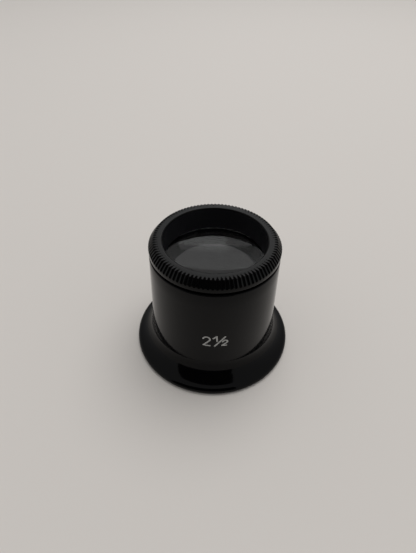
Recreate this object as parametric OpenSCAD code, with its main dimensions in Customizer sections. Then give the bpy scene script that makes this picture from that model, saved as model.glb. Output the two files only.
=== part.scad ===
// Watchmaker loupe: a moulded eyecup, a biconvex lens, and the ring that screws in over it.
// Millimetres. The rim rests on z = 0, and +Z runs along the optical axis, from the eye to the lens.

/* [Lens] */
// Diameter of the lens
lens_d = 22.8; // [20:0.1:26]
// Radius of curvature of both faces of the lens
lens_curve = 66; // [40:1:120]
// Thickness of the lens at its edge
lens_edge = 2; // [1.2:0.1:3]
// Bevel ground on the lens's two edges
lens_bevel = 0.15; // [0.05:0.05:0.3]
// How far the seat reaches in under the lens
seat_lap = 1.2; // [0.6:0.05:1.6]
// How far the ring's opening lies inside the lens's edge
opening_lap = 0.9; // [0.6:0.05:1.6]

/* [Eyecup] */
// Height of the eyecup
cup_h = 25.75; // [22:0.05:32]
// Diameter of the rim that the eye socket holds
rim_d = 36; // [35:0.5:42]
// Rounding of the rim
rim_round = 0.95; // [0.8:0.05:1.2]
// Depth of the flat on which the rim rests
rim_flat = 0.12; // [0.06:0.01:0.2]
// Radius of the hollow flare between barrel and rim
flare_r = 5; // [4:0.1:7]
// Draft of the barrel's outside, in degrees
draft = 1.7; // [0.5:0.1:2.5]
// Wall of the barrel where it meets the ring
barrel_wall = 1.2; // [1:0.05:1.8]
// Thickness of the shelf that the lens rests on
shelf_t = 1.4; // [1:0.05:2.4]
// How far below the eyecup's upper edge the lens's edge lies
lens_depth = 2.25; // [1.8:0.05:3.5]
// Width of the small bevels on the eyecup's upper edge
edge_bevel = 0.2; // [0.1:0.05:0.3]

/* [Ring] */
// Height of the ring above the gap that it leaves
ring_h = 2.4; // [2.3:0.05:4]
// Gap between the eyecup and the ring when it is screwed home
ring_gap = 0.65; // [0.3:0.05:1]
// How far the serrated bevel reaches in over the top face
bevel_in = 1.05; // [0.9:0.01:1.2]
// How far the serrated bevel reaches down the band
bevel_down = 1.27; // [1.1:0.01:1.5]
// Rounding of the opening's upper edge
mouth_round = 0.25; // [0.1:0.05:0.4]
// Number of serrations
teeth = 100; // [60:1:120]
// How far a groove cuts into the top face
groove_in = 0.75; // [0.5:0.01:1]
// How far in from the bevel's upper edge a groove's floor bends down
knee_in = 0.08; // [0.02:0.01:0.2]
// How deep below the top face a groove's floor bends down
knee_down = 0.17; // [0.1:0.01:0.25]
// How far a groove runs down past the bevel
groove_down = 0.22; // [0.15:0.01:0.4]
// Width of a groove's floor
groove_floor = 0.12; // [0.08:0.01:0.2]
// Angle between a groove's flank and the middle of the groove, in degrees
groove_flank = 45; // [35:1:50]
// Wall of the threaded skirt below the ring
skirt_wall = 1.35; // [1:0.05:1.6]
// How far the opening narrows down to the foot that holds the lens
foot_in = 0.15; // [0.1:0.05:0.3]

/* [Thread] */
// Wall of the eyecup around its thread
thread_wall = 1.05; // [0.8:0.05:1.6]
// Radial room that the two threads share between skirt and eyecup
thread_room = 0.5; // [0.3:0.05:0.7]

/* [Fits] */
// Radial clearance of the lens in its pocket
lens_fit = 0.1; // [0.05:0.01:0.2]
// Clearance where the seat and the ring's foot meet the glass
glass_fit = 0.04; // [0.02:0.01:0.1]
// Clearance between the opening's wall and the crown of the lens
crown_fit = 0.2; // [0.1:0.05:0.5]

/* [Hidden] */
$fn = 180;
arc_fn = 720;
// Overshoot of a cut past the face that it opens
cut = 1;

// Height of a face of the lens above or below its edge, at radius r
function fall(r) = lens_curve - sqrt(lens_curve * lens_curve - r * r);

lens_r = lens_d / 2;
pocket_r = lens_r + lens_fit;
seat_r = lens_r - seat_lap;
opening_r = lens_r - opening_lap;
foot_r = opening_r - foot_in;

// Radii of the screwed joint, from the ring's skirt out to the barrel
skirt_r = opening_r + skirt_wall;
thread_r = skirt_r + thread_room;
barrel_r = thread_r + thread_wall;
bore_r = barrel_r - barrel_wall;
ring_r = barrel_r;

// Heights of the lens: its two edges and its upper crown
edge_top = cup_h - lens_depth;
edge_low = edge_top - lens_edge;
crown = edge_top + fall(lens_r);

// Heights of what touches the glass
seat_z = edge_low - fall(lens_r) + fall(seat_r) - glass_fit;
shelf_z = seat_z - shelf_t;
foot_z = edge_top + fall(lens_r) - fall(foot_r) + glass_fit;
relief_z = crown + crown_fit;

// Heights of the ring above the gap
ring_z = cup_h + ring_gap;
top_z = ring_z + ring_h;

// The flare is a circle tangent to the drafted barrel and to the rounded rim
rim_c = [rim_d / 2 - rim_round, rim_round - rim_flat];
function barrel_at(z) = barrel_r + (cup_h - z) * tan(draft);
// A first height for the flare's centre gives the barrel's radius there closely enough to finish
flare_x = barrel_at(flare_r + rim_round) + flare_r / cos(draft);
flare_y = rim_c[1] + sqrt(pow(flare_r + rim_round, 2) - pow(flare_x - rim_c[0], 2));
flare_c = [barrel_at(flare_y) + flare_r / cos(draft), flare_y];

// A groove's floor, as radius and height: a gentle ramp in the top face, then steeply down to the band
floor_start = [ring_r - bevel_in - groove_in, top_z];
floor_knee = [ring_r - bevel_in - knee_in, top_z - knee_down];
floor_end = [ring_r, top_z - bevel_down - groove_down];

// Solid outline of the eyecup, before it is hollowed
module cup_outside() {
    difference() {
        union() {
            polygon([
                [0, 0],
                [barrel_at(0), 0],
                [barrel_at(edge_bevel), edge_bevel],
                [barrel_at(cup_h - edge_bevel), cup_h - edge_bevel],
                [barrel_r - edge_bevel, cup_h],
                [0, cup_h]
            ]);
            polygon([[seat_r, 0], [rim_c[0], 0], rim_c, flare_c, [seat_r, flare_c[1]]]);
            intersection() {
                translate(rim_c) circle(r = rim_round, $fn = arc_fn);
                translate([seat_r, 0]) square([rim_d, 2 * rim_round]);
            }
        }
        translate(flare_c) circle(r = flare_r, $fn = arc_fn);
    }
}

// Hollow below the shelf: a straight bore that opens into a flare of the same centre as the outside
module cup_hollow() {
    inner_flare = flare_c[0] - bore_r;
    translate([-cut, -cut]) square([bore_r + cut, shelf_z + cut]);
    difference() {
        translate([0, -cut]) square([rim_c[0], flare_c[1] + cut]);
        translate(flare_c) circle(r = inner_flare, $fn = arc_fn);
    }
}

// Everything above the shelf: the pocket of the lens, and the bore that takes the ring
module cup_pocket() {
    translate([-cut, shelf_z - cut]) square([seat_r + cut, cup_h]);
    translate([-cut, seat_z]) square([pocket_r + cut, cup_h]);
    translate([-cut, foot_z - glass_fit]) square([thread_r + cut, cup_h]);
    translate([0, cup_h])
        polygon([[0, 0], [0, -2 * edge_bevel], [thread_r, -edge_bevel], [thread_r + edge_bevel, 0]]);
}

module eyecup() {
    color([0.035, 0.035, 0.04])
        rotate_extrude()
            difference() {
                cup_outside();
                cup_hollow();
                cup_pocket();
            }
}

module lens() {
    inset = lens_bevel;
    color([0.8, 0.86, 0.86, 0.35])
        rotate_extrude()
            intersection() {
                translate([0, crown - lens_curve]) circle(r = lens_curve, $fn = 4 * arc_fn);
                translate([0, edge_low - fall(lens_r) + lens_curve])
                    circle(r = lens_curve, $fn = 4 * arc_fn);
                polygon([
                    [0, edge_low - lens_r],
                    [lens_r - inset, edge_low - inset],
                    [lens_r - inset, edge_low],
                    [lens_r, edge_low + inset],
                    [lens_r, edge_top - inset],
                    [lens_r - inset, edge_top],
                    [lens_r - inset, edge_top + inset],
                    [0, edge_top + lens_r]
                ]);
            }
}

// Outline of the ring: bevelled head, threaded skirt, and the foot that holds the lens
module ring_outline() {
    difference() {
        polygon([
            [opening_r, relief_z],
            [foot_r, foot_z],
            [skirt_r - edge_bevel, foot_z],
            [skirt_r, foot_z + edge_bevel],
            [skirt_r, ring_z],
            [ring_r - edge_bevel, ring_z],
            [ring_r, ring_z + edge_bevel],
            [ring_r, top_z - bevel_down],
            [ring_r - bevel_in, top_z],
            [opening_r + mouth_round, top_z],
            [opening_r, top_z]
        ]);
        mouth_edge();
    }
}

// What the rounding takes off the opening's upper edge
module mouth_edge() {
    difference() {
        translate([opening_r - cut, top_z - mouth_round]) square([mouth_round + cut, mouth_round + cut]);
        translate([opening_r + mouth_round, top_z - mouth_round])
            circle(r = mouth_round, $fn = arc_fn / 4);
    }
}

// A straight slot with leaning flanks, whose floor runs between two points and on past both
module slot(from, to) {
    run = to - from;
    middle = (from + to) / 2;
    floor_half = groove_floor / 2;
    open_half = floor_half + cut * tan(groove_flank);
    translate([middle[0], 0, middle[1]])
        rotate([0, 90 - atan2(run[1], run[0]), 0])
            linear_extrude(height = norm(run) + 2 * cut, center = true)
                polygon([[0, floor_half], [0, -floor_half], [-cut, -open_half], [-cut, open_half]]);
}

// A ring of slots, one for each groove of the serration
module slots(from, to) {
    for (i = [0 : teeth - 1]) rotate([0, 0, (i + 0.5) * 360 / teeth]) slot(from, to);
}

module lens_ring() {
    color([0.075, 0.075, 0.08])
        difference() {
            rotate_extrude() ring_outline();
            slots(floor_start, floor_knee);
            slots(floor_knee, floor_end);
        }
}

eyecup();
lens();
lens_ring();
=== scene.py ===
import math
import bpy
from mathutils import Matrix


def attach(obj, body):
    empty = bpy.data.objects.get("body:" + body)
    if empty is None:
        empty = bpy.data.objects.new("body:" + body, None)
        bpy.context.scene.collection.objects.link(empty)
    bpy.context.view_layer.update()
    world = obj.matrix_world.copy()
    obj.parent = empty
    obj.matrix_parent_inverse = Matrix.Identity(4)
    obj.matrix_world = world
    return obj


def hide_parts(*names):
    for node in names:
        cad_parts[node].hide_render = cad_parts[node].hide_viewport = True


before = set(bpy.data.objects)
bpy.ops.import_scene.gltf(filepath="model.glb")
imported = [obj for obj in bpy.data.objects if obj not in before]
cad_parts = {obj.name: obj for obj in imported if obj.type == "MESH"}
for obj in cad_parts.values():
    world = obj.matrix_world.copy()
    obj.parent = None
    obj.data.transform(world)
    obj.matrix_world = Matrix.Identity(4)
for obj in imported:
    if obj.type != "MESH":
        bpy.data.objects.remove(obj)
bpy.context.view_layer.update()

from types import SimpleNamespace

import bmesh
import bpy
from bpy.props import FloatProperty, FloatVectorProperty, IntProperty, PointerProperty
from bpy.types import Operator, Panel, PropertyGroup
from mathutils import Matrix, Vector

bl_info = {
    "name": "Watchmaker Loupe",
    "version": (1, 0, 0),
    "blender": (4, 5, 0),
    "location": "View3D > Sidebar > Loupe",
    "description": "Dresses the packed eye loupe: moulded eyecup, serrated ring, glass lens and stage",
    "category": "Object",
}

MM = 0.001
# Room that the solids leave round the lens, above and below it, and over its crown
LENS_FIT = 0.1 * MM
GLASS_FIT = 0.04 * MM
CROWN_FIT = 0.2 * MM
# A distance too small to see
HAIR = 0.001 * MM
# Slack for rounding when places are compared
SLACK = 0.0001 * MM


def length(name, description, value_mm, low_mm, high_mm):
    """A length in the sidebar, given here in millimetres."""
    return FloatProperty(
        name=name,
        description=description,
        default=value_mm * MM,
        min=low_mm * MM,
        max=high_mm * MM,
        precision=5,
        unit="LENGTH",
        subtype="DISTANCE",
    )


def colour(name, description, value):
    """A colour in the sidebar, as linear red, green and blue."""
    return FloatVectorProperty(
        name=name, description=description, default=value, min=0, max=1, size=3, subtype="COLOR"
    )


class LoupeLensSizes(PropertyGroup):
    """Sizes of the glass and of what holds it"""

    diameter: length("Diameter", "Diameter of the lens", 22.8, 20, 26)
    curve: length("Curvature", "Radius of curvature of both faces", 66, 40, 120)
    edge: length("Edge", "Thickness at the edge", 2, 1.2, 3)
    bevel: length("Bevel", "Bevel ground on the two edges", 0.15, 0.05, 0.3)
    seat_lap: length("Seat", "How far the seat reaches in under the lens", 1.2, 0.6, 1.6)
    opening_lap: length("Opening", "How far the ring's opening lies inside the lens's edge", 0.9, 0.6, 1.6)


class LoupeCupSizes(PropertyGroup):
    """Sizes of the moulded eyecup"""

    height: length("Height", "Height of the eyecup", 25.75, 22, 32)
    rim_diameter: length("Rim", "Diameter of the rim that the eye socket holds", 36, 35, 42)
    rim_round: length("Rim rounding", "Rounding of the rim", 0.95, 0.8, 1.2)
    rim_flat: length("Rim flat", "Depth of the flat on which the rim rests", 0.12, 0.06, 0.2)
    flare: length("Flare", "Radius of the hollow flare", 5, 4, 7)
    draft: FloatProperty(
        name="Draft",
        description="Draft of the barrel's outside",
        default=math.radians(1.7),
        min=math.radians(0.5),
        max=math.radians(2.5),
        unit="ROTATION",
        subtype="ANGLE",
    )
    wall: length("Wall", "Wall of the barrel where it meets the ring", 1.2, 1, 1.8)
    shelf: length("Shelf", "Thickness of the shelf under the lens", 1.4, 1, 2.4)
    lens_depth: length("Lens depth", "Depth of the lens's edge below the upper edge", 2.25, 1.8, 3.5)
    bevel: length("Bevel", "Small bevels on the upper edge", 0.2, 0.1, 0.3)
    colour: colour("Colour", "Colour of the moulded plastic", (0.0011, 0.0011, 0.0014))


class LoupeRingSizes(PropertyGroup):
    """Sizes of the serrated ring"""

    height: length("Height", "Height of the ring above the gap", 2.4, 2.3, 4)
    gap: length("Gap", "Gap between eyecup and ring", 0.65, 0.3, 1)
    bevel_in: length("Bevel inwards", "How far the bevel reaches in over the top face", 1.03, 0.8, 1.4)
    bevel_down: length("Bevel down", "How far the bevel reaches down the band", 1.27, 0.9, 1.6)
    bevel_round: length("Bevel rounding", "Rounding of the bevel's two edges", 0.1, 0.05, 0.3)
    mouth: length("Mouth", "Rounding of the opening's upper edge", 0.25, 0.1, 0.4)
    teeth: IntProperty(name="Serrations", description="Number of serrations", default=100, min=60, max=120)
    groove_in: length("Groove inwards", "How far a groove cuts into the top face", 0.66, 0.2, 1)
    knee_in: length("Knee inwards", "How far in from the bevel a groove's floor bends down", 0.08, 0, 0.3)
    knee_down: length("Knee down", "How deep under the top face the floor bends down", 0.17, 0.1, 0.4)
    groove_down: length("Groove down", "How far a groove runs down past the bevel", 0.22, 0.1, 0.6)
    groove_floor: length("Groove floor", "Radius of a groove's floor", 0.24, 0.05, 0.4)
    groove_flank: FloatProperty(
        name="Groove flank",
        description="Angle between a groove's flank and the middle of the groove",
        default=math.radians(30),
        min=math.radians(5),
        max=math.radians(60),
        unit="ROTATION",
        subtype="ANGLE",
    )
    skirt_wall: length("Skirt", "Wall of the threaded skirt", 1.35, 1, 1.6)
    foot_in: length("Foot", "How far the opening narrows down to the foot", 0.15, 0.1, 0.3)
    colour: colour("Colour", "Colour of the ring's plastic", (0.0012, 0.0012, 0.0013))
    wall_colour: colour("Wall colour", "Colour of the opening's matt wall", (0.009, 0.009, 0.0105))


class LoupeThreadSizes(PropertyGroup):
    """Sizes of the screw thread"""

    wall: length("Wall", "Wall of the eyecup around its thread", 1.05, 0.8, 1.6)
    room: length("Room", "Radial room that the two threads share", 0.5, 0.3, 0.7)
    pitch: length("Pitch", "Rise of the thread in one turn", 0.75, 0.5, 1.0)
    ridge: length("Ridge", "Height of a thread's ridge", 0.36, 0.2, 0.4)
    foot: length("Ridge foot", "Half the width of a ridge at its foot", 0.26, 0.15, 0.3)


class LoupePrint(PropertyGroup):
    """The number printed on the barrel"""

    height: length("Height", "Height of the large numeral between its strokes' middles", 2.6, 1, 5)
    low: length("Place", "Height of its foot above the table", 11.9, 9, 20)
    stroke: length("Stroke", "Half the width of the strokes", 0.18, 0.05, 0.3)
    film: length("Film", "How far the ink stands off the plastic", 0.012, 0.004, 0.05)
    colour: colour("Ink", "Colour of the printed number", (0.42, 0.42, 0.41))


class LoupeStage(PropertyGroup):
    """Table, light of the room, lamp and camera"""

    floor: colour("Floor", "Colour of the table", (0.66, 0.625, 0.59))
    room: colour("Room", "Colour of the light from all round", (1.0, 1.0, 1.0))
    room_strength: FloatProperty(
        name="Room strength",
        description="Strength of the light from all round",
        default=0.48,
        min=0,
        max=2,
    )
    lamp_power: FloatProperty(
        name="Lamp power",
        description="Power of the soft lamp overhead",
        default=4.2,
        min=0,
        max=50,
        unit="POWER",
    )
    camera_angle: FloatProperty(
        name="Camera angle",
        description="How far the camera looks down",
        default=0.7497,
        unit="ROTATION",
        subtype="ANGLE",
    )
    camera_roll: FloatProperty(
        name="Camera roll",
        description="How far the camera is turned about its own axis",
        default=0.0195,
        unit="ROTATION",
        subtype="ANGLE",
    )
    camera_lens: FloatProperty(
        name="Focal length", description="Focal length in millimetres", default=25.39, min=10, max=200
    )


# Sizes worked out from the driving ones

def lens_fall(sizes, radius):
    """How far a face of the lens falls from its crown at a radius."""
    return sizes.curve - math.sqrt(sizes.curve**2 - radius**2)


def worked_out(scene):
    """Every radius and height that more than one piece needs, in metres."""
    glass, cup, ring, thread = scene.loupe_lens, scene.loupe_cup, scene.loupe_ring, scene.loupe_thread
    loupe = SimpleNamespace()
    loupe.lens_r = glass.diameter / 2
    loupe.pocket_r = loupe.lens_r + LENS_FIT
    loupe.seat_r = loupe.lens_r - glass.seat_lap
    loupe.opening_r = loupe.lens_r - glass.opening_lap
    loupe.foot_r = loupe.opening_r - ring.foot_in
    loupe.skirt_r = loupe.opening_r + ring.skirt_wall
    loupe.thread_r = loupe.skirt_r + thread.room
    loupe.barrel_r = loupe.thread_r + thread.wall
    loupe.bore_r = loupe.barrel_r - cup.wall
    loupe.edge_top = cup.height - cup.lens_depth
    loupe.edge_low = loupe.edge_top - glass.edge
    sag = lens_fall(glass, loupe.lens_r)
    loupe.crown = loupe.edge_top + sag
    loupe.base = loupe.edge_low - sag
    loupe.seat_z = loupe.base + lens_fall(glass, loupe.seat_r) - GLASS_FIT
    loupe.shelf_z = loupe.seat_z - cup.shelf
    loupe.foot_z = loupe.crown - lens_fall(glass, loupe.foot_r) + GLASS_FIT
    loupe.relief_z = loupe.crown + CROWN_FIT
    loupe.ring_z = cup.height + ring.gap
    loupe.top_z = loupe.ring_z + ring.height
    loupe.rim = Vector((cup.rim_diameter / 2 - cup.rim_round, cup.rim_round - cup.rim_flat))

    def barrel_at(z):
        return loupe.barrel_r + (cup.height - z) * math.tan(cup.draft)

    reach = cup.flare + cup.rim_round
    side = barrel_at(reach) + cup.flare / math.cos(cup.draft)
    rise = loupe.rim.y + math.sqrt(reach**2 - (side - loupe.rim.x) ** 2)
    loupe.flare = Vector((barrel_at(rise) + cup.flare / math.cos(cup.draft), rise))
    loupe.barrel_at = barrel_at
    return loupe


# Turned shapes

def arc(centre, radius, start, end, steps):
    """Points on an arc from one angle to another, in degrees, both ends included."""
    points = []
    for i in range(steps + 1):
        angle = math.radians(start + (end - start) * i / steps)
        points.append((centre[0] + radius * math.cos(angle), centre[1] + radius * math.sin(angle)))
    return points


def outline_mesh(outline, closed):
    """A wire in the plane of X and Z. A point may carry a third number, the rounding of its corner."""
    bm = bmesh.new()
    verts = [bm.verts.new((p[0], 0, p[1])) for p in outline]
    for a, b in zip(verts, verts[1:]):
        bm.edges.new((a, b))
    if closed:
        bm.edges.new((verts[-1], verts[0]))
    for vert, point in zip(verts, outline):
        if len(point) > 2 and point[2] > 0:
            bmesh.ops.bevel(
                bm,
                geom=[vert],
                offset=point[2],
                offset_type="OFFSET",
                segments=4,
                profile=0.5,
                affect="VERTICES",
                material=-1,
                clamp_overlap=True,
            )
    return bm


def turn(bm, steps):
    """Spins the wire once round the optical axis and closes the seam and the poles."""
    bmesh.ops.spin(
        bm,
        geom=bm.verts[:] + bm.edges[:],
        cent=(0, 0, 0),
        axis=(0, 0, 1),
        dvec=(0, 0, 0),
        angle=2 * math.pi,
        steps=steps,
        use_merge=True,
        use_duplicate=False,
    )
    bmesh.ops.remove_doubles(bm, verts=bm.verts[:], dist=SLACK)
    bmesh.ops.recalc_face_normals(bm, faces=bm.faces[:])


def finished(bm, name, body, materials, nodes=(), sharp_degrees=30):
    """Makes the object, shades it smooth, attaches it to its body and hides the CAD parts that it
    replaces.
    """
    for face in bm.faces:
        face.smooth = True
    mesh = bpy.data.meshes.new(name)
    bm.to_mesh(mesh)
    bm.free()
    mesh.set_sharp_from_angle(angle=math.radians(sharp_degrees))
    piece = bpy.data.objects.new(name, mesh)
    bpy.context.scene.collection.objects.link(piece)
    for material in materials:
        mesh.materials.append(material)
    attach(piece, body)
    if nodes:
        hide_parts(*nodes)
    return piece


# Materials

class Socket:
    """Wraps an output so that shader maths reads as an expression."""

    def __init__(self, tree, output):
        self.tree = tree
        self.output = output

    def maths(self, operation, other, swap=False):
        """Adds a Math node that joins this output with another one or with a number."""
        node = self.tree.nodes.new("ShaderNodeMath")
        node.operation = operation
        operands = [other, self] if swap else [self, other]
        for index, value in enumerate(operands):
            if isinstance(value, Socket):
                self.tree.links.new(value.output, node.inputs[index])
            else:
                node.inputs[index].default_value = value
        return Socket(self.tree, node.outputs[0])

    def __add__(self, other):
        return self.maths("ADD", other)

    __radd__ = __add__

    def __mul__(self, other):
        return self.maths("MULTIPLY", other)

    __rmul__ = __mul__

    def __sub__(self, other):
        return self.maths("SUBTRACT", other)

    def __rsub__(self, other):
        return self.maths("SUBTRACT", other, swap=True)


class Finish:
    """A material with one Principled shader and the nodes that feed it."""

    def __init__(self, name, **constants):
        self.material = bpy.data.materials.new(name)
        self.material.use_nodes = True
        self.tree = self.material.node_tree
        self.shader = self.tree.nodes["Principled BSDF"]
        for socket, value in constants.items():
            self.shader.inputs[socket.replace("_", " ")].default_value = value

    def node(self, kind, settings=None, inputs=None, output=0):
        """Adds one node, with its settings first and then the values or links of its sockets."""
        made = self.tree.nodes.new(kind)
        for key, value in (settings or {}).items():
            if key == "stops":
                ramp = made.color_ramp
                for place, _ in value[1:-1]:
                    ramp.elements.new(place)
                for element, (place, shade) in zip(ramp.elements, value):
                    element.position = place
                    element.color = (shade, shade, shade, 1)
            else:
                setattr(made, key, value)
        for key, value in (inputs or {}).items():
            if isinstance(value, Socket):
                self.tree.links.new(value.output, made.inputs[key])
            else:
                made.inputs[key].default_value = value
        return Socket(self.tree, made.outputs[output])

    def feed(self, socket, value):
        """Links a value to a socket of the shader."""
        self.tree.links.new(value.output, self.shader.inputs[socket])

    def place(self):
        """The place on the piece, in metres."""
        return self.node("ShaderNodeTexCoord", output="Object")

    def noise(self, scale, detail):
        """An uneven cloud of values, with so many waves to the metre."""
        place = self.place()
        return self.node("ShaderNodeTexNoise", inputs={"Vector": place, "Scale": scale, "Detail": detail})

    def bump(self, height, distance):
        """Raises the surface by a share of a distance, in its shading alone."""
        self.feed("Normal", self.node("ShaderNodeBump", inputs={"Height": height, "Distance": distance}))


def moulded_plastic(colour):
    """Black plastic with the even sheen of a polished mould."""
    finish = Finish("moulded_plastic", Base_Color=(*colour, 1), IOR=1.23)
    cloud = finish.noise(420, detail=3)
    finish.feed("Roughness", cloud * 0.05 + 0.07)
    finish.bump(finish.noise(900, detail=2), distance=0.004 * MM)
    return finish.material


def grained_plastic(colour):
    """Black plastic with the fine grain of the ring's top face."""
    finish = Finish("grained_plastic", Base_Color=(*colour, 1), IOR=1.45)
    cloud = finish.noise(800, detail=3)
    finish.feed("Roughness", cloud * 0.15 + 0.28)
    finish.bump(finish.noise(5200, detail=3), distance=0.02 * MM)
    return finish.material


def polished_plastic(colour):
    """The ring's plastic where the mould was polished: the band, the underside and the thread."""
    return Finish("polished_plastic", Base_Color=(*colour, 1), IOR=1.2, Roughness=0.12).material


def ribbed_plastic(colour):
    """The ribs of the serration, a little brighter than the band."""
    return Finish("ribbed_plastic", Base_Color=(*colour, 1), IOR=1.32, Roughness=0.12).material


def matt_plastic(colour):
    """The unpolished wall of the ring's opening."""
    return Finish("matt_plastic", Base_Color=(*colour, 1), IOR=1.25, Roughness=0.5).material


def dull_plastic(colour):
    """The grooves between the serrations' ribs: rough plastic whose sheen is turned down so far that it
    paints the shade the narrow grooves trap.
    """
    return Finish("dull_plastic", Base_Color=(*colour, 1), IOR=1.08, Roughness=0.4).material


def crown_glass():
    """Clear polished glass."""
    return Finish(
        "crown_glass",
        Base_Color=(0.985, 0.995, 0.99, 1),
        Roughness=0.0,
        IOR=1.523,
        Transmission_Weight=1.0,
    ).material


def ground_glass():
    """The unpolished edge of the lens."""
    return Finish(
        "ground_glass",
        Base_Color=(0.55, 0.57, 0.56, 1),
        Roughness=0.6,
        IOR=1.5,
        Transmission_Weight=0.35,
    ).material


def printing_ink(colour):
    """Matt ink of the printed number."""
    return Finish("printing_ink", Base_Color=(*colour, 1), Roughness=0.55, IOR=1.4).material


# Pieces

class LOUPE_OT_eyecup(Operator):
    """Make the moulded eyecup: rim, flare, barrel, shelf and threaded bore"""

    bl_idname = "loupe.eyecup"
    bl_label = "Eyecup"

    def execute(self, context):
        cup = context.scene.loupe_cup
        loupe = worked_out(context.scene)
        inner = loupe.flare.x - loupe.bore_r
        draft = math.degrees(cup.draft)
        tangent = math.degrees(math.atan2(loupe.flare.y - loupe.rim.y, loupe.flare.x - loupe.rim.x))
        rim_start = -math.degrees(math.asin(loupe.rim.y / cup.rim_round))
        inner_end = 180 + math.degrees(math.asin(loupe.flare.y / inner))
        # Rounding of the edges inside
        small = 0.12 * MM
        outline = [(loupe.flare.x - math.sqrt(inner**2 - loupe.flare.y**2), 0, small)]
        outline += arc(loupe.rim, cup.rim_round, rim_start, tangent, steps=24)
        outline += arc(loupe.flare, cup.flare, 180 + tangent, 180 + draft, steps=40)[1:]
        rise, rows = cup.height - loupe.flare.y, 6
        heights = [loupe.flare.y + rise * row / rows for row in range(1, rows)]
        outline += [(loupe.barrel_at(z), z) for z in heights]
        outline += [
            (loupe.barrel_at(cup.height), cup.height, cup.bevel),
            (loupe.thread_r, cup.height, cup.bevel),
            (loupe.thread_r, loupe.foot_z - GLASS_FIT),
            (loupe.pocket_r, loupe.foot_z - GLASS_FIT, small),
            (loupe.pocket_r, loupe.seat_z),
            (loupe.seat_r, loupe.seat_z, small),
            (loupe.seat_r, loupe.shelf_z, small),
            (loupe.bore_r, loupe.shelf_z),
        ]
        outline += arc(loupe.flare, inner, 180, inner_end, steps=40)[:-1]
        bm = outline_mesh(outline, closed=True)
        turn(bm, steps=256)
        finishes = [moulded_plastic(cup.colour)]
        finished(bm, "eyecup_shell", "eyecup", finishes, ["eyecup"])
        return {"FINISHED"}


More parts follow.
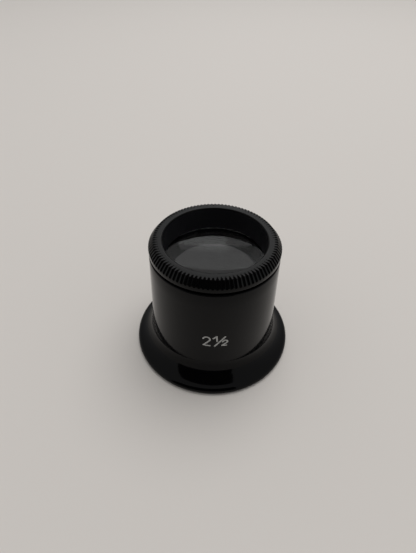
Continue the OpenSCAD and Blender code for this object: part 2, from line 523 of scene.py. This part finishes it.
class LOUPE_OT_ring(Operator):
    """Make the ring: serrated bevel, smooth band, opening, skirt and foot"""

    bl_idname = "loupe.ring"
    bl_label = "Serrated ring"

    # Columns of vertices from the middle of one groove to the middle of the next
    columns = 12
    # Shares of a groove's depth at which the columns beside its middle lie
    climb = (0, 0.12, 0.45, 0.9)
    # Narrowest half of a groove, and the width of the step at a rib's edge
    narrowest = 0.005 * MM
    rib_edge = 0.03 * MM
    # Places of the finishes in the ring's list of materials, after the polished plastic
    grained, matt, dull, ribbed = 1, 2, 3, 4

    def execute(self, context):
        ring = context.scene.loupe_ring
        loupe = worked_out(context.scene)
        opening = loupe.opening_r
        bevel_top = Vector((loupe.barrel_r - ring.bevel_in, loupe.top_z))
        bevel_low = Vector((loupe.barrel_r, loupe.top_z - ring.bevel_down))
        outline = [(opening, loupe.relief_z)]
        outline += arc((opening + ring.mouth, loupe.top_z - ring.mouth), ring.mouth, 180, 90, steps=6)
        # Rows across the grooves in the top face, and below the bevel where they run out in the band
        shares = (1.3, 1, 0.9, 0.75, 0.6, 0.45, 0.3, 0.15)
        outline += [(bevel_top.x - ring.groove_in * share, loupe.top_z) for share in shares]
        outline += self.bevel_rows(bevel_top, bevel_low, ring.bevel_round)
        shares = (0.35, 0.65, 1, 1.3)
        outline += [(loupe.barrel_r, bevel_low.y - ring.groove_down * share) for share in shares]
        # Roundings of the lower edges of head and skirt, and of the foot's edge
        small, foot_edge = 0.2 * MM, 0.1 * MM
        outline += [
            (loupe.barrel_r, loupe.ring_z, small),
            (loupe.skirt_r, loupe.ring_z),
            (loupe.skirt_r, loupe.foot_z, small),
            (loupe.foot_r, loupe.foot_z, foot_edge),
        ]
        bm = outline_mesh(outline, closed=True)
        turn(bm, self.columns * ring.teeth)
        sunk = self.cut_grooves(bm, ring, bevel_top, bevel_low)
        self.share_finishes(bm, loupe, bevel_top.x, bevel_low.y, sunk)
        bmesh.ops.recalc_face_normals(bm, faces=bm.faces[:])
        finishes = [
            polished_plastic(ring.colour),
            grained_plastic(ring.colour),
            matt_plastic(ring.wall_colour),
            dull_plastic(ring.colour),
            ribbed_plastic(ring.colour),
        ]
        finished(bm, "serrated_ring", "ring", finishes, ["lens_ring"], sharp_degrees=50)
        return {"FINISHED"}

    def bevel_rows(self, top, low, rounding):
        """Rows down the bevel, with its upper and its lower edge rounded."""
        slope = math.atan2(top.y - low.y, low.x - top.x)
        back = rounding * math.tan(slope / 2)
        rows = arc((top.x - back, top.y - rounding), rounding, 90, 90 - math.degrees(slope), steps=4)
        rest = math.pi / 2 - slope
        back = rounding * math.tan(rest / 2)
        lower = arc((low.x - rounding, low.y - back), rounding, math.degrees(rest), 0, steps=4)
        start, end = Vector(rows[-1]), Vector(lower[0])
        rows += [tuple(start.lerp(end, share)) for share in (0.25, 0.5, 0.75)]
        return rows + lower

    def groove_half(self, ring, height):
        """Half the width of a groove at a height above its floor."""
        radius, flank = ring.groove_floor, ring.groove_flank
        turn_height = radius * (1 - math.sin(flank))
        if height < turn_height:
            return math.sqrt(max(0, radius**2 - (radius - height) ** 2))
        return radius * math.cos(flank) + (height - turn_height) * math.tan(flank)

    def outwards(self, start, end):
        """The direction out of the plastic, square to a line down a groove's floor."""
        along = (end - start).normalized()
        return Vector((-along.y, along.x))

    def cut_grooves(self, bm, ring, bevel_top, bevel_low):
        """Sinks columns of vertices into grooves, and returns the vertices that were sunk."""
        sunk = set()
        start = bevel_top - Vector((ring.groove_in, 0))
        knee = bevel_top - Vector((ring.knee_in, ring.knee_down))
        end = bevel_low - Vector((0, ring.groove_down))
        # The floor's two straight runs, and the point behind both from which every groove is drawn
        floors = [(knee, self.outwards(start, knee)), (knee, self.outwards(knee, end))]
        behind = Vector((start.x, end.y))
        pitch = 2 * math.pi / ring.teeth
        half = self.columns // 2
        # A full share, with room for rounding
        whole = 1 + 1e-6
        for vert in bm.verts:
            x, y, z = vert.co
            radius = math.hypot(x, y)
            reach = Vector((radius, z)) - behind
            if reach.x < -SLACK or reach.y < -SLACK:
                continue
            share = min((corner - behind).dot(out) / reach.dot(out) for corner, out in floors)
            height = max((behind + reach - corner).dot(out) for corner, out in floors)
            if share > whole:
                continue
            azimuth = math.atan2(y, x)
            groove = round(azimuth / pitch - 0.5) + 0.5
            column = round((azimuth / pitch - groove) * self.columns)
            side = -1 if column < 0 else 1
            wide = max(self.narrowest, self.groove_half(ring, height))
            spread = pitch * radius / 2
            edge = min(self.rib_edge, 0.25 * (spread - wide), 0.3 * wide)
            lifts = [height * climb for climb in self.climb]
            across = [0] + [max(HAIR, self.groove_half(ring, lift)) for lift in lifts[1:]]
            across += [wide + edge, wide + 3 * edge, spread]
            lifts += [height, height, height]
            step = min(half, abs(column))
            lift = lifts[step] / height if height > 0 else 1
            angle = groove * pitch + side * across[step] / radius
            place = behind + reach * (share + (1 - share) * lift)
            vert.co = (place.x * math.cos(angle), place.x * math.sin(angle), place.y)
            if lift < 1:
                sunk.add(vert)
        return sunk

    def share_finishes(self, bm, loupe, bevel_top, bevel_low, sunk):
        """Gives the grooves, the top face, the opening's wall and the ribs on the bevel their finishes."""
        for face in bm.faces:
            centre = face.calc_center_median()
            radius = math.hypot(centre.x, centre.y)
            if not sunk.isdisjoint(face.verts):
                # The grooves take the finish whose weak sheen is painted shade
                face.material_index = self.dull
            elif abs(centre.z - loupe.top_z) < 2 * HAIR:
                face.material_index = self.grained
            elif radius < loupe.opening_r + HAIR:
                face.material_index = self.matt
            elif bevel_top < radius and centre.z > bevel_low:
                face.material_index = self.ribbed


class LOUPE_OT_lens(Operator):
    """Make the lens: two polished faces and a ground edge"""

    bl_idname = "loupe.lens"
    bl_label = "Lens"

    def execute(self, context):
        glass = context.scene.loupe_lens
        loupe = worked_out(context.scene)
        polished = loupe.lens_r - glass.bevel
        reach = math.degrees(math.asin(polished / glass.curve))
        lower = arc((0, loupe.base + glass.curve), glass.curve, -90, -90 + reach, steps=32)
        upper = arc((0, loupe.crown - glass.curve), glass.curve, 90 - reach, 90, steps=32)
        outline = lower + [
            (loupe.lens_r, loupe.edge_low + glass.bevel),
            (loupe.lens_r, loupe.edge_top - glass.bevel),
        ] + upper
        bm = outline_mesh(outline, closed=False)
        turn(bm, steps=192)
        for face in bm.faces:
            centre = face.calc_center_median()
            if math.hypot(centre.x, centre.y) > polished:
                face.material_index = 1
        finished(bm, "lens_glass", "lens", [crown_glass(), ground_glass()], ["lens"])
        return {"FINISHED"}


def thread_ridge(foot_r, crest_r, thread, low, high):
    """A right-hand ridge wound up a cylinder, fading out at both ends."""
    flank = math.radians(30)
    foot_half = thread.foot
    crest_half = foot_half - abs(crest_r - foot_r) * math.tan(flank)
    bm = bmesh.new()
    corners = [
        (foot_r, -foot_half),
        (crest_r, -crest_half),
        (crest_r, crest_half),
        (foot_r, foot_half),
    ]
    verts = [bm.verts.new((r, 0, z)) for r, z in corners]
    for a, b in zip(verts, verts[1:] + verts[:1]):
        bm.edges.new((a, b))
    turns = (high - low) / thread.pitch
    steps_a_turn = 72
    steps = round(turns * steps_a_turn)
    bmesh.ops.spin(
        bm,
        geom=bm.verts[:] + bm.edges[:],
        cent=(0, 0, 0),
        axis=(0, 0, 1),
        dvec=(0, 0, (high - low) / steps),
        angle=2 * math.pi * turns,
        steps=steps,
        use_merge=False,
        use_duplicate=False,
    )
    # The crest sinks almost to the foot over the last steps at both ends
    fade, least = 10, 0.04
    bm.verts.ensure_lookup_table()
    rows = [bm.verts[i : i + 4] for i in range(0, 4 * (steps + 1), 4)]
    for index, row in enumerate(rows):
        share = min(1, index / fade, (steps - index) / fade)
        crest = foot_r + (crest_r - foot_r) * max(least, share)
        for vert in row[1:3]:
            angle = math.atan2(vert.co.y, vert.co.x)
            vert.co.x = crest * math.cos(angle)
            vert.co.y = crest * math.sin(angle)
    for end in (rows[0], rows[-1]):
        bm.faces.new(end)
    bmesh.ops.translate(bm, verts=bm.verts[:], vec=(0, 0, low))
    bmesh.ops.recalc_face_normals(bm, faces=bm.faces[:])
    return bm


class LOUPE_OT_threads(Operator):
    """Wind the two threads: one on the ring's skirt, one in the eyecup's bore"""

    bl_idname = "loupe.threads"
    bl_label = "Threads"

    def execute(self, context):
        thread, cup = context.scene.loupe_thread, context.scene.loupe_cup
        loupe = worked_out(context.scene)
        # How deep a ridge's foot is sunk into its cylinder, and how far above the skirt's end one begins
        bury, lead_in = 0.05 * MM, 0.4 * MM
        skirt_turns = 3
        low = loupe.foot_z + lead_in
        high = low + skirt_turns * thread.pitch
        ridge = thread_ridge(loupe.skirt_r - bury, loupe.skirt_r + thread.ridge, thread, low, high)
        finishes = [bpy.data.materials["polished_plastic"]]
        finished(ridge, "ring_thread", "ring", finishes)
        # The bore's ridge starts half a pitch higher and has whole eighths of a turn up to the edge
        low += thread.pitch / 2
        room = cup.height - cup.bevel - thread.foot - low
        eighths = math.floor(8 * room / thread.pitch)
        high = low + thread.pitch * eighths / 8
        ridge = thread_ridge(loupe.thread_r + bury, loupe.thread_r - thread.ridge, thread, low, high)
        finishes = [bpy.data.materials["moulded_plastic"]]
        finished(ridge, "cup_thread", "eyecup", finishes)
        return {"FINISHED"}


def numeral_two(left, low, width, height, lean=0):
    """The middle line of a figure two: a hook, a slant and a straight foot."""
    radius = width / 2
    # Where the hook starts and ends, in degrees round its middle
    start, end = 168, -32
    hook = arc((left + radius, low + height - radius), radius, start, end, steps=14)
    line = hook + [(left + 0.04 * width, low + 0.05 * height), (left + width, low)]
    return [(x + lean * (z - low), z) for x, z in line]


def short_steps(line, step):
    """The same line with no stretch longer than a step, so that it can follow the curved barrel."""
    points = [line[0]]
    for (x, z), (next_x, next_z) in zip(line, line[1:]):
        parts = math.ceil(math.hypot(next_x - x, next_z - z) / step)
        for part in range(1, parts + 1):
            points.append((x + (next_x - x) * part / parts, z + (next_z - z) * part / parts))
    return points


class LOUPE_OT_number(Operator):
    """Print the working distance on the front of the barrel"""

    bl_idname = "loupe.number"
    bl_label = "Printed number"

    def execute(self, context):
        ink = context.scene.loupe_print
        loupe = worked_out(context.scene)
        unit, low = ink.height, ink.low
        # The large two, the one, the slash and the small two, in shares of the large two's height
        lines = [
            numeral_two(-0.79 * unit, low, 0.53 * unit, unit),
            [(0, low + 0.85 * unit), (0.26 * unit, low + 1.09 * unit), (0.3 * unit, low + 0.54 * unit)],
            [(0.11 * unit, low - 0.05 * unit), (0.92 * unit, low + unit)],
            numeral_two(0.67 * unit, low, 0.38 * unit, 0.6 * unit, lean=0.14),
        ]
        bm = bmesh.new()
        for line in lines:
            self.stroke(bm, line, ink.stroke, ink.film)
        for vert in bm.verts:
            across, off, z = vert.co
            radius = loupe.barrel_at(z) + off
            angle = across / loupe.barrel_at(z)
            vert.co = (radius * math.sin(angle), -radius * math.cos(angle), z)
        bmesh.ops.recalc_face_normals(bm, faces=bm.faces[:])
        finished(bm, "printed_number", "eyecup", [printing_ink(ink.colour)])
        return {"FINISHED"}

    def stroke(self, bm, line, half, film):
        """Sweeps a flat, round-ended stroke along a line, as curve geometry turned into a mesh."""
        curve = bpy.data.curves.new("stroke", "CURVE")
        curve.dimensions = "3D"
        curve.bevel_depth = half
        curve.bevel_resolution = 3
        curve.use_fill_caps = True
        longest = 0.15 * MM
        path = short_steps(line, longest)
        spline = curve.splines.new("POLY")
        spline.points.add(len(path) - 1)
        for point, (x, z) in zip(spline.points, path):
            point.co = (x, 0, z, 1)
        holder = bpy.data.objects.new("stroke", curve)
        mesh = bpy.data.meshes.new_from_object(holder)
        part = bmesh.new()
        part.from_mesh(mesh)
        # Round ends, and a round corner before the last stretch
        for end in (line[0], line[-2], line[-1]):
            bmesh.ops.create_uvsphere(
                part,
                u_segments=16,
                v_segments=8,
                radius=half,
                matrix=Matrix.Translation((end[0], 0, end[1])),
            )
        bmesh.ops.scale(part, vec=(1, film / half, 1), verts=part.verts[:])
        part.to_mesh(mesh)
        part.free()
        bm.from_mesh(mesh)
        bpy.data.objects.remove(holder)
        bpy.data.curves.remove(curve)
        bpy.data.meshes.remove(mesh)


# Stage

def plain_surface(name, colour):
    """A matt surface of one colour."""
    return Finish(name, Base_Color=(*colour, 1), Roughness=0.75, IOR=1.35).material


class LOUPE_OT_stage(Operator):
    """Set the table, the lights, the camera, and the cards that show only in plastic and glass"""

    bl_idname = "loupe.stage"
    bl_label = "Stage"

    def execute(self, context):
        scene = context.scene
        stage = scene.loupe_stage
        self.table(scene, stage)
        self.room(scene, stage)
        self.lamp(scene, stage)
        camera = self.camera(scene, stage)
        self.dark_cards(scene, camera)
        self.bright_cards(scene)
        scene.view_settings.view_transform = "Standard"
        return {"FINISHED"}

    def add(self, scene, bm, name, material):
        """Makes a thing of the stage from its mesh."""
        mesh = bpy.data.meshes.new(name)
        bm.to_mesh(mesh)
        bm.free()
        mesh.materials.append(material)
        thing = bpy.data.objects.new(name, mesh)
        scene.collection.objects.link(thing)
        return thing

    def table(self, scene, stage):
        """A round table, far wider than the picture."""
        bm = bmesh.new()
        bmesh.ops.create_circle(bm, cap_ends=True, segments=64, radius=1.5)
        self.add(scene, bm, "table", plain_surface("table_top", stage.floor))

    def lamp(self, scene, stage):
        """A wide soft lamp above and behind, a little to the right, which no piece mirrors."""
        data = bpy.data.lights.new("soft_lamp", "AREA")
        data.shape = "DISK"
        data.size = 0.8
        data.energy = stage.lamp_power
        lamp = bpy.data.objects.new("soft_lamp", data)
        lamp.location = (0.15, 0.26, 0.85)
        lamp.rotation_euler = (-lamp.location).to_track_quat("-Z", "Y").to_euler()
        lamp.visible_glossy = False
        lamp.visible_transmission = False
        scene.collection.objects.link(lamp)

    def room(self, scene, stage):
        """Even light from all round."""
        world = bpy.data.worlds.new("room")
        world.use_nodes = True
        shade = world.node_tree.nodes["Background"]
        shade.inputs["Color"].default_value = (*stage.room, 1)
        shade.inputs["Strength"].default_value = stage.room_strength
        scene.world = world

    def camera(self, scene, stage):
        """A camera held in front of the loupe and above it, and turned a little."""
        data = bpy.data.cameras.new("camera")
        data.lens = stage.camera_lens
        data.clip_start = 0.005
        data.clip_end = 10
        camera = bpy.data.objects.new("camera", data)
        scene.collection.objects.link(camera)
        place = Matrix.Translation(Vector((-1.30, -62.05, 75.95)) * MM)
        look = Matrix.Rotation(math.pi / 2 - stage.camera_angle, 4, "X")
        roll = Matrix.Rotation(stage.camera_roll, 4, "Z")
        camera.matrix_world = place @ look @ roll
        scene.camera = camera
        return camera

    def card(self, scene, corners, name, material):
        """A flat card that shows only in what shines, and neither to the camera nor as a shadow."""
        bm = bmesh.new()
        bm.faces.new([bm.verts.new(corner) for corner in corners])
        card = self.add(scene, bm, name, material)
        card.visible_camera = False
        card.visible_shadow = False
        card.visible_diffuse = False
        return card

    def ceiling_lamp(self, left, right, near, far):
        """The glow of a lamp between two places across and two away, which fades to its left and back."""
        finish = Finish("ceiling_lamp", Base_Color=(0, 0, 0, 1), Emission_Strength=1.45)
        place = {"Vector": finish.place()}
        across = finish.node("ShaderNodeSeparateXYZ", inputs=place, output="X")
        away = finish.node("ShaderNodeSeparateXYZ", inputs=place, output="Y")
        sideways = finish.node(
            "ShaderNodeValToRGB",
            {"stops": [(0, 0.35), (0.08, 0.58), (0.33, 0.58), (0.4, 1), (0.94, 1), (1, 0.4)]},
            {"Fac": (across - left) * (1 / (right - left))},
        )
        backwards = finish.node(
            "ShaderNodeValToRGB",
            {"stops": [(0, 1), (0.59, 1), (0.64, 0.62), (0.76, 0.55), (1, 0.36)]},
            {"Fac": (away - near) * (1 / (far - near))},
        )
        finish.feed("Emission Color", sideways * backwards)
        return finish.material

    def bright_cards(self, scene):
        """The window that the top face mirrors, and the wall and the ceiling lamp seen in the lens."""
        back = 1.2
        left, right, low, top = -0.1, 0.45, 0.39, 0.735
        corners = [(left, back, low), (right, back, low), (right, back, top), (left, back, top)]
        black, white = (0, 0, 0, 1), (1, 1, 1, 1)
        pane = Finish("window", Base_Color=black, Emission_Color=white, Emission_Strength=1.25)
        window = self.card(scene, corners, "window_card", pane.material)
        window.visible_transmission = False
        half, top = 0.9, 0.69
        corners = [(-half, back, 0), (half, back, 0), (half, back, top), (-half, back, top)]
        wall = self.card(scene, corners, "wall_card", plain_surface("wall", (0.16, 0.16, 0.16)))
        wall.visible_glossy = False
        high = 1.2
        left, right, near, far = -0.6, 0.62, 0.3, 0.9
        corners = [(left, near, high), (right, near, high), (right, far, high), (left, far, high)]
        lamp = self.card(scene, corners, "ceiling_card", self.ceiling_lamp(left, right, near, far))
        lamp.visible_glossy = False

    def dark_cards(self, scene, camera):
        """One card round the camera and one behind it, which show in the flare and the barrel."""
        dark = plain_surface("dark_card", (0.004, 0.004, 0.004))
        # The first is drawn in millimetres, seen from the camera and a little behind it
        behind = 2 * MM
        edge = [(-50, 20), (36, 20), (44, -16), (54, -50), (-107, -50), (-81, -16)]
        corners = [(x * MM, y * MM, behind) for x, y in edge]
        card = self.card(scene, corners, "near_card", dark)
        card.data.transform(camera.matrix_world)
        # The second also takes the room's light from the side that it stands on
        front, left, right, top_right, top = -0.38, -0.45, 0.22, 0.2, 0.21
        corners = [(left, front, 0), (right, front, 0), (top_right, front, top), (left, front, top)]
        card = self.card(scene, corners, "far_card", dark)
        card.visible_shadow = True
        card.visible_diffuse = True


class LOUPE_PT_panel(Panel):
    """The loupe's pieces and sizes"""

    bl_idname = "LOUPE_PT_panel"
    bl_label = "Watchmaker Loupe"
    bl_space_type = "VIEW_3D"
    bl_region_type = "UI"
    bl_category = "Loupe"

    def draw(self, context):
        scene = context.scene
        for operator, group in PIECES:
            box = self.layout.box()
            box.operator(operator.bl_idname)
            settings = getattr(scene, group)
            for name in settings.__annotations__:
                box.prop(settings, name)


GROUPS = {
    "loupe_lens": LoupeLensSizes,
    "loupe_cup": LoupeCupSizes,
    "loupe_ring": LoupeRingSizes,
    "loupe_thread": LoupeThreadSizes,
    "loupe_print": LoupePrint,
    "loupe_stage": LoupeStage,
}

PIECES = [
    (LOUPE_OT_eyecup, "loupe_cup"),
    (LOUPE_OT_lens, "loupe_lens"),
    (LOUPE_OT_ring, "loupe_ring"),
    (LOUPE_OT_threads, "loupe_thread"),
    (LOUPE_OT_number, "loupe_print"),
    (LOUPE_OT_stage, "loupe_stage"),
]


def register():
    for group in GROUPS.values():
        bpy.utils.register_class(group)
    for operator, _ in PIECES:
        bpy.utils.register_class(operator)
    bpy.utils.register_class(LOUPE_PT_panel)
    for name, group in GROUPS.items():
        setattr(bpy.types.Scene, name, PointerProperty(type=group))


def unregister():
    for name in GROUPS:
        delattr(bpy.types.Scene, name)
    bpy.utils.unregister_class(LOUPE_PT_panel)
    for operator, _ in reversed(PIECES):
        bpy.utils.unregister_class(operator)
    for group in reversed(GROUPS.values()):
        bpy.utils.unregister_class(group)


def main():
    """Makes every piece and the stage."""
    register()
    bpy.ops.loupe.eyecup()
    bpy.ops.loupe.lens()
    bpy.ops.loupe.ring()
    bpy.ops.loupe.threads()
    bpy.ops.loupe.number()
    bpy.ops.loupe.stage()


if __name__ == "__main__":
    main()
